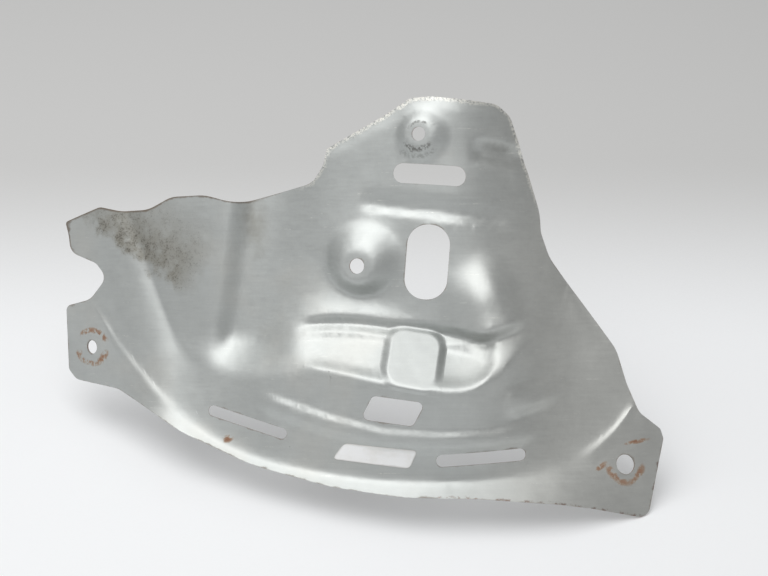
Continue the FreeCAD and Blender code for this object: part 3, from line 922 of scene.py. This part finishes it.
@dataclass
class PressedSheet:
    """The pressed sheet: the solid's own skin, merged, shaded smooth and marked by side and edge."""

    node: str = "heat_shield"
    weld: float = 2.0e-6
    cut_facing: float = 0.06
    bore_facing: float = 0.5
    bore_reach: float = 1.3
    bridge_length: float = 0.002
    outline_share: float = 0.5
    sample: float = 0.0008
    rim_reach: float = 12.0
    even_rounds: int = 2
    even_share: float = 0.35
    finish: AluminisedSteel = AluminisedSteel()

    def build(self) -> bpy.types.Object:
        """Builds the sheet and returns its object, which stands in for the solid."""
        work = bmesh.new()
        work.from_mesh(frame["nodes"][self.node].data)
        bmesh.ops.remove_doubles(work, verts=work.verts, dist=self.weld)
        bmesh.ops.dissolve_degenerate(work, edges=work.edges, dist=self.weld)
        self.open_bridges(work)
        sides = self.sides(work)
        sharp = self.sharp_edges(work, sides)
        self.even(work, sharp)
        self.mark(work, sides, sharp)
        piece = new_piece("pressed_sheet", work, self.finish.make())
        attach(piece, "root")
        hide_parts(self.node)
        return piece

    def mark(
        self, work: bmesh.types.BMesh, sides: List[float], sharp: Set[bmesh.types.BMEdge]
    ) -> None:
        """Shades the sheet smooth and keeps its sides and edge distances on the mesh.

        Args:
            work: the sheet's mesh.
            sides: the side of each face, by its index.
            sharp: the edges at which one side meets another.
        """
        rims = self.rim_distances(work, sharp)
        outers = self.rim_distances(work, self.outline(sharp))
        for edge in work.edges:
            edge.smooth = edge not in sharp
        side_layer = work.faces.layers.float.new("side")
        rim_layer = work.verts.layers.float.new("rim")
        outer_layer = work.verts.layers.float.new("outer")
        for face in work.faces:
            face.smooth = True
            face[side_layer] = sides[face.index]
        for vert in work.verts:
            vert[rim_layer] = rims[vert.index]
            vert[outer_layer] = outers[vert.index]

    def even(self, work: bmesh.types.BMesh, sharp: Set[bmesh.types.BMEdge]) -> None:
        """Takes the faint ripples out of both skins and leaves the cut edges where they are."""
        tied = {vert for edge in sharp for vert in edge.verts}
        inner = [vert for vert in work.verts if vert not in tied]
        for _ in range(self.even_rounds):
            bmesh.ops.smooth_vert(
                work,
                verts=inner,
                factor=self.even_share,
                use_axis_x=True,
                use_axis_y=True,
                use_axis_z=True,
            )
        work.normal_update()

    def open_bridges(self, work: bmesh.types.BMesh) -> None:
        """Halves the edges that run over the sheet from one cut edge to another."""
        sharp = self.sharp_edges(work, self.sides(work))
        tied = {vert for edge in sharp for vert in edge.verts}
        bridges = [
            edge
            for edge in work.edges
            if edge not in sharp
            and tied.issuperset(edge.verts)
            and edge.calc_length() > self.bridge_length
        ]
        bmesh.ops.subdivide_edges(work, edges=bridges, cuts=1)
        bmesh.ops.triangulate(work, faces=[face for face in work.faces if len(face.verts) > 3])
        work.normal_update()

    def sharp_edges(self, work: bmesh.types.BMesh, sides: List[float]) -> Set[bmesh.types.BMEdge]:
        """The edges at which one side of the sheet meets another."""
        return {
            edge
            for edge in work.edges
            if len({sides[face.index] for face in edge.link_faces}) != 1
        }

    def sides(self, work: bmesh.types.BMesh) -> List[float]:
        """Sorts the faces into front, back and cut edge.

        Args:
            work: the merged mesh.

        Returns:
            The side of each face, by its index.
        """
        work.faces.index_update()
        work.verts.index_update()
        holes = [
            (Vector(mount["pos_m"]), Vector(mount["axis"]), mount["dims"]["r_mm"] * MILLI)
            for mount in frame["record"]["mounts"]
        ]
        found: List[float] = []
        for face in work.faces:
            facing = face.normal.dot(OUT)
            middle = face.calc_center_median()
            cut = abs(facing) < self.cut_facing or any(
                (middle - place).length < radius * self.bore_reach
                and abs(face.normal.dot(axis)) < self.bore_facing
                for place, axis, radius in holes
            )
            side = Side.RIM if cut else Side.FRONT if facing > 0.0 else Side.BACK
            found.append(side.value)
        return found

    def outline(self, sharp: Set[bmesh.types.BMEdge]) -> Set[bmesh.types.BMEdge]:
        """The cut edges that belong to the sheet's outer outline, not to a hole."""
        loops: List[Set[bmesh.types.BMEdge]] = []
        waiting = set(sharp)
        while waiting:
            front = [waiting.pop()]
            loop = set(front)
            while front:
                ends = front.pop().verts
                beside = {edge for vert in ends for edge in vert.link_edges if edge in waiting}
                waiting -= beside
                loop |= beside
                front.extend(beside)
            loops.append(loop)
        lengths = [sum(edge.calc_length() for edge in loop) for loop in loops]
        least = self.outline_share * max(lengths)
        return {edge for loop, length in zip(loops, lengths) if length > least for edge in loop}

    def rim_distances(self, work: bmesh.types.BMesh, sharp: Set[bmesh.types.BMEdge]) -> List[float]:
        """Millimetres from each vertex to the nearest cut edge."""
        points: List[Vector] = []
        for edge in sharp:
            first, last = edge.verts[0].co, edge.verts[1].co
            count = max(1, int(edge.calc_length() / self.sample))
            points.extend(first.lerp(last, step / count) for step in range(count + 1))
        tree = KDTree(len(points))
        for index, point in enumerate(points):
            tree.insert(point, index)
        tree.balance()
        return [min(tree.find(vert.co)[2] * PER_METRE, self.rim_reach) for vert in work.verts]


@dataclass
class PocketPad:
    """The raised square pad in the pocket, which closes the opening that the solid has in its place."""

    across: float = 12.9
    up: float = -30.8
    length: float = 20.4
    width: float = 22.0
    turn: float = -9.5
    corner: float = 5.6
    slope: float = 4.2
    rise: float = 3.0
    tip: float = 0.02
    shelf_from: float = 0.8
    shelf_half: float = 0.3
    cells: int = 84
    edge_distance: float = 12.0
    lift: float = 0.00003
    sink: float = 0.00006
    thick: float = 0.0008

    def build(self, carrier: bpy.types.Object) -> bpy.types.Object:
        """Builds the pad.

        Args:
            carrier: the sheet that the pad is pressed in.

        Returns:
            The pad's object.
        """
        work = bmesh.new()
        bmesh.ops.create_grid(work, x_segments=self.cells, y_segments=self.cells, size=0.5)
        self.lay(work, surface_tree(carrier))
        self.thicken(work)
        side_layer = work.faces.layers.float.new("side")
        rim_layer = work.verts.layers.float.new("rim")
        outer_layer = work.verts.layers.float.new("outer")
        for face in work.faces:
            face.smooth = True
            face[side_layer] = (Side.FRONT if face.normal.dot(OUT) > 0.0 else Side.BACK).value
        for vert in work.verts:
            vert[rim_layer] = vert[outer_layer] = self.edge_distance
        piece = new_piece("pocket_pad", work, carrier.data.materials[0])
        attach(piece, "root")
        return piece

    def lay(self, work: bmesh.types.BMesh, tree: BVHTree) -> None:
        """Lays the grid over the sheet, flat in the middle and running out into it all round.

        Args:
            work: the flat grid, one unit across.
            tree: the sheet's faces.
        """
        turn = Matrix.Rotation(math.radians(self.turn), 2)
        centre = Vector((self.across, self.up))
        reach = Vector((self.length, self.width)) + Vector((2.0, 2.0)) * self.slope
        bmesh.ops.scale(work, verts=work.verts, vec=reach.to_3d())
        sheet: Dict[bmesh.types.BMVert, float] = {}
        for vert in work.verts:
            if self.outside(vert.co.xy) > 0.0:
                place = turn @ vert.co.xy + centre
                start = die_point(place.x, place.y, RAY_START)
                sheet[vert] = RAY_START - tree.ray_cast(start, -OUT)[3] / MILLI
        middle, lean = self.shelf(sheet)
        for vert in work.verts:
            local = vert.co.xy
            top = middle + self.rise + local.dot(lean)
            share = ease(1.0 - self.outside(local) / self.slope)
            height = top * share + sheet.get(vert, top) * (1.0 - share)
            place = turn @ local + centre
            clear = -self.sink if vert.is_boundary else self.lift
            vert.co = die_point(place.x, place.y, height) + OUT * clear
        work.normal_update()

    def shelf(self, sheet: Dict[bmesh.types.BMVert, float]) -> Tuple[float, Vector]:
        """Height and slope of the pocket's floor on both sides of the pad.

        Args:
            sheet: the sheet's height under each vertex outside the pad.

        Returns:
            The middle height, and the slope across and up with the pad's own tip added.
        """
        floor = [
            (vert.co.x, vert.co.y, height)
            for vert, height in sheet.items()
            if self.outside(vert.co.xy) > self.shelf_from * self.slope
            and abs(vert.co.y) < self.shelf_half * self.width
        ]
        middle = sum(height for _, _, height in floor) / len(floor)
        across = sum(x * height for x, _, height in floor) / sum(x * x for x, _, _ in floor)
        up = sum(y * height for _, y, height in floor) / sum(y * y for _, y, _ in floor)
        return middle, Vector((across, up + self.tip))

    def thicken(self, work: bmesh.types.BMesh) -> None:
        """Gives the pad the sheet's thickness towards the back."""
        face_viewer(work)
        copy = bmesh.ops.duplicate(work, geom=work.verts[:] + work.edges[:] + work.faces[:])["geom"]
        for vert in (item for item in copy if isinstance(item, bmesh.types.BMVert)):
            vert.co -= vert.normal * self.thick
        back = [item for item in copy if isinstance(item, bmesh.types.BMFace)]
        bmesh.ops.reverse_faces(work, faces=back)
        seam = [edge for edge in work.edges if edge.is_boundary]
        bmesh.ops.bridge_loops(work, edges=seam)
        for edge in seam:
            edge.smooth = False
        work.normal_update()

    def outside(self, local: Vector) -> float:
        """Millimetres from the pad's rounded square to a place, less than nothing inside it."""
        aside = abs(local.x) - 0.5 * self.length + self.corner
        above = abs(local.y) - 0.5 * self.width + self.corner
        beyond = math.hypot(max(aside, 0.0), max(above, 0.0))
        return beyond + min(max(aside, above), 0.0) - self.corner


@dataclass
class BlankLabel:
    """A small blank paper label stuck to the lower wall, following the sheet."""

    left_top: Tuple[float, float] = (-17.6, -68.3)
    right_top: Tuple[float, float] = (14.8, -70.9)
    right_low: Tuple[float, float] = (11.2, -79.2)
    left_low: Tuple[float, float] = (-22.8, -75.6)
    columns: int = 96
    rows: int = 24
    length: float = 33.0
    height: float = 8.2
    corner: float = 2.0
    lift: float = 0.00006
    thick: float = 0.00010
    finish: LabelPaper = LabelPaper()

    def build(self, carrier: bpy.types.Object) -> bpy.types.Object:
        """Builds the label.

        Args:
            carrier: the sheet that the label is stuck to.

        Returns:
            The label's object.
        """
        tree = surface_tree(carrier)
        work = bmesh.new()
        bmesh.ops.create_grid(work, x_segments=self.columns, y_segments=self.rows, size=0.5)
        rim_layer = work.verts.layers.float.new("rim")
        for vert in work.verts:
            share, rise = vert.co.x + 0.5, vert.co.y + 0.5
            end, side = min(share, 1.0 - share), min(rise, 1.0 - rise)
            vert[rim_layer] = min(end * self.length, side * self.height)
            across, up = self.corner_blend(share, 0.5 + vert.co.y * self.rounding(end))
            hit, normal, _, _ = tree.ray_cast(die_point(across, up, RAY_START), -OUT)
            vert.co = hit + normal * self.lift
        bmesh.ops.recalc_face_normals(work, faces=work.faces)
        face_viewer(work)
        for face in work.faces:
            face.smooth = True
        piece = new_piece("blank_label", work, self.finish.make())
        wall = piece.modifiers.new("paper", "SOLIDIFY")
        wall.thickness = self.thick
        wall.offset = 1.0
        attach(piece, "root")
        return piece

    def rounding(self, end: float) -> float:
        """How much of the label's height its round corners leave, at a share of its length from an end."""
        into = max(self.corner - end * self.length, 0.0)
        lost = self.corner - math.sqrt(max(self.corner ** 2 - into ** 2, 0.0))
        return 1.0 - 2.0 * lost / self.height

    def corner_blend(self, share: float, rise: float) -> Tuple[float, float]:
        """A place inside the label's four corners, from two shares."""
        low = Vector(self.left_low).lerp(Vector(self.right_low), share)
        high = Vector(self.left_top).lerp(Vector(self.right_top), share)
        place = low.lerp(high, rise)
        return place.x, place.y


@dataclass(frozen=True)
class SoftLamp:
    """A soft rectangular lamp that looks at a point near the part."""

    name: str
    place: Tuple[float, float, float]
    aim: Tuple[float, float, float]
    size: Tuple[float, float]
    power: float

    def hang(self) -> None:
        """Hangs the lamp in the scene."""
        lamp = bpy.data.lights.new(self.name, "AREA")
        lamp.shape = "RECTANGLE"
        lamp.size, lamp.size_y = self.size
        lamp.energy = self.power
        holder = bpy.data.objects.new(self.name, lamp)
        place = Vector(self.place)
        turn = (Vector(self.aim) - place).to_track_quat("-Z", "Y")
        holder.matrix_world = Matrix.Translation(place) @ turn.to_matrix().to_4x4()
        bpy.context.collection.objects.link(holder)


@dataclass
class Studio:
    """The floor, the light and the camera, in metres."""

    floor_half: float = 6.0
    view_distance: float = 0.8
    frame_width: float = 0.33792
    sensor: float = 36.0
    lamps: Tuple[SoftLamp, ...] = (
        SoftLamp("key", (-0.40, -0.12, 1.10), (-0.10, 0.04, 0.0), (1.3, 0.85), 9.2),
    )
    world_left: Colour = (0.50, 0.502, 0.505, 1.0)
    world_right: Colour = (0.42, 0.422, 0.425, 1.0)
    world_turn: Band = (-0.7, 0.7)
    paper: SweepPaper = SweepPaper()

    def build(self) -> None:
        """Builds the studio round the part."""
        self.lay_floor()
        for lamp in self.lamps:
            lamp.hang()
        self.light_world()
        self.set_camera()
        bpy.context.scene.view_settings.view_transform = "Standard"

    def lay_floor(self) -> None:
        """Lays the floor under the lowest point of the part."""
        work = bmesh.new()
        bmesh.ops.create_grid(work, x_segments=2, y_segments=2, size=self.floor_half)
        bmesh.ops.translate(work, verts=work.verts, vec=(0.0, 0.0, CAD_BOX[0][2]))
        floor = new_piece("floor", work, self.paper.make())

    def light_world(self) -> None:
        """Fills the shadows from all round, a little less from the right."""
        world = bpy.data.worlds.new("studio")
        world.use_nodes = True
        graph = Graph(world.node_tree)
        across, _, _ = graph.parts(graph.coordinates("Generated"))
        shade = graph.mix(self.world_left, self.world_right, across.between(*self.world_turn))
        graph.join(graph.tree.nodes["Background"].inputs["Color"], shade)
        bpy.context.scene.world = world

    def set_camera(self) -> None:
        """Stands the camera straight in front of the die, as in the photograph."""
        lens = bpy.data.cameras.new("camera")
        lens.sensor_width = self.sensor
        lens.lens = self.sensor * self.view_distance / self.frame_width
        holder = bpy.data.objects.new("camera", lens)
        turn = Matrix((ACROSS, UP, OUT)).transposed().to_4x4()
        stand = die_point(0.0, 0.0, 0.0) + OUT * self.view_distance
        holder.matrix_world = Matrix.Translation(stand) @ turn
        bpy.context.collection.objects.link(holder)
        bpy.context.scene.camera = holder


def main() -> None:
    """Builds the sheet, its pad, its label and the studio, and reports each piece."""
    logging.basicConfig(level=logging.INFO, format="%(message)s")
    sheet = PressedSheet().build()
    pad = PocketPad().build(sheet)
    label = BlankLabel().build(sheet)
    for piece in (sheet, pad, label):
        LOG.info("%s: %d faces", piece.name, len(piece.data.polygons))
    Studio().build()


if __name__ == "__main__":
    main()
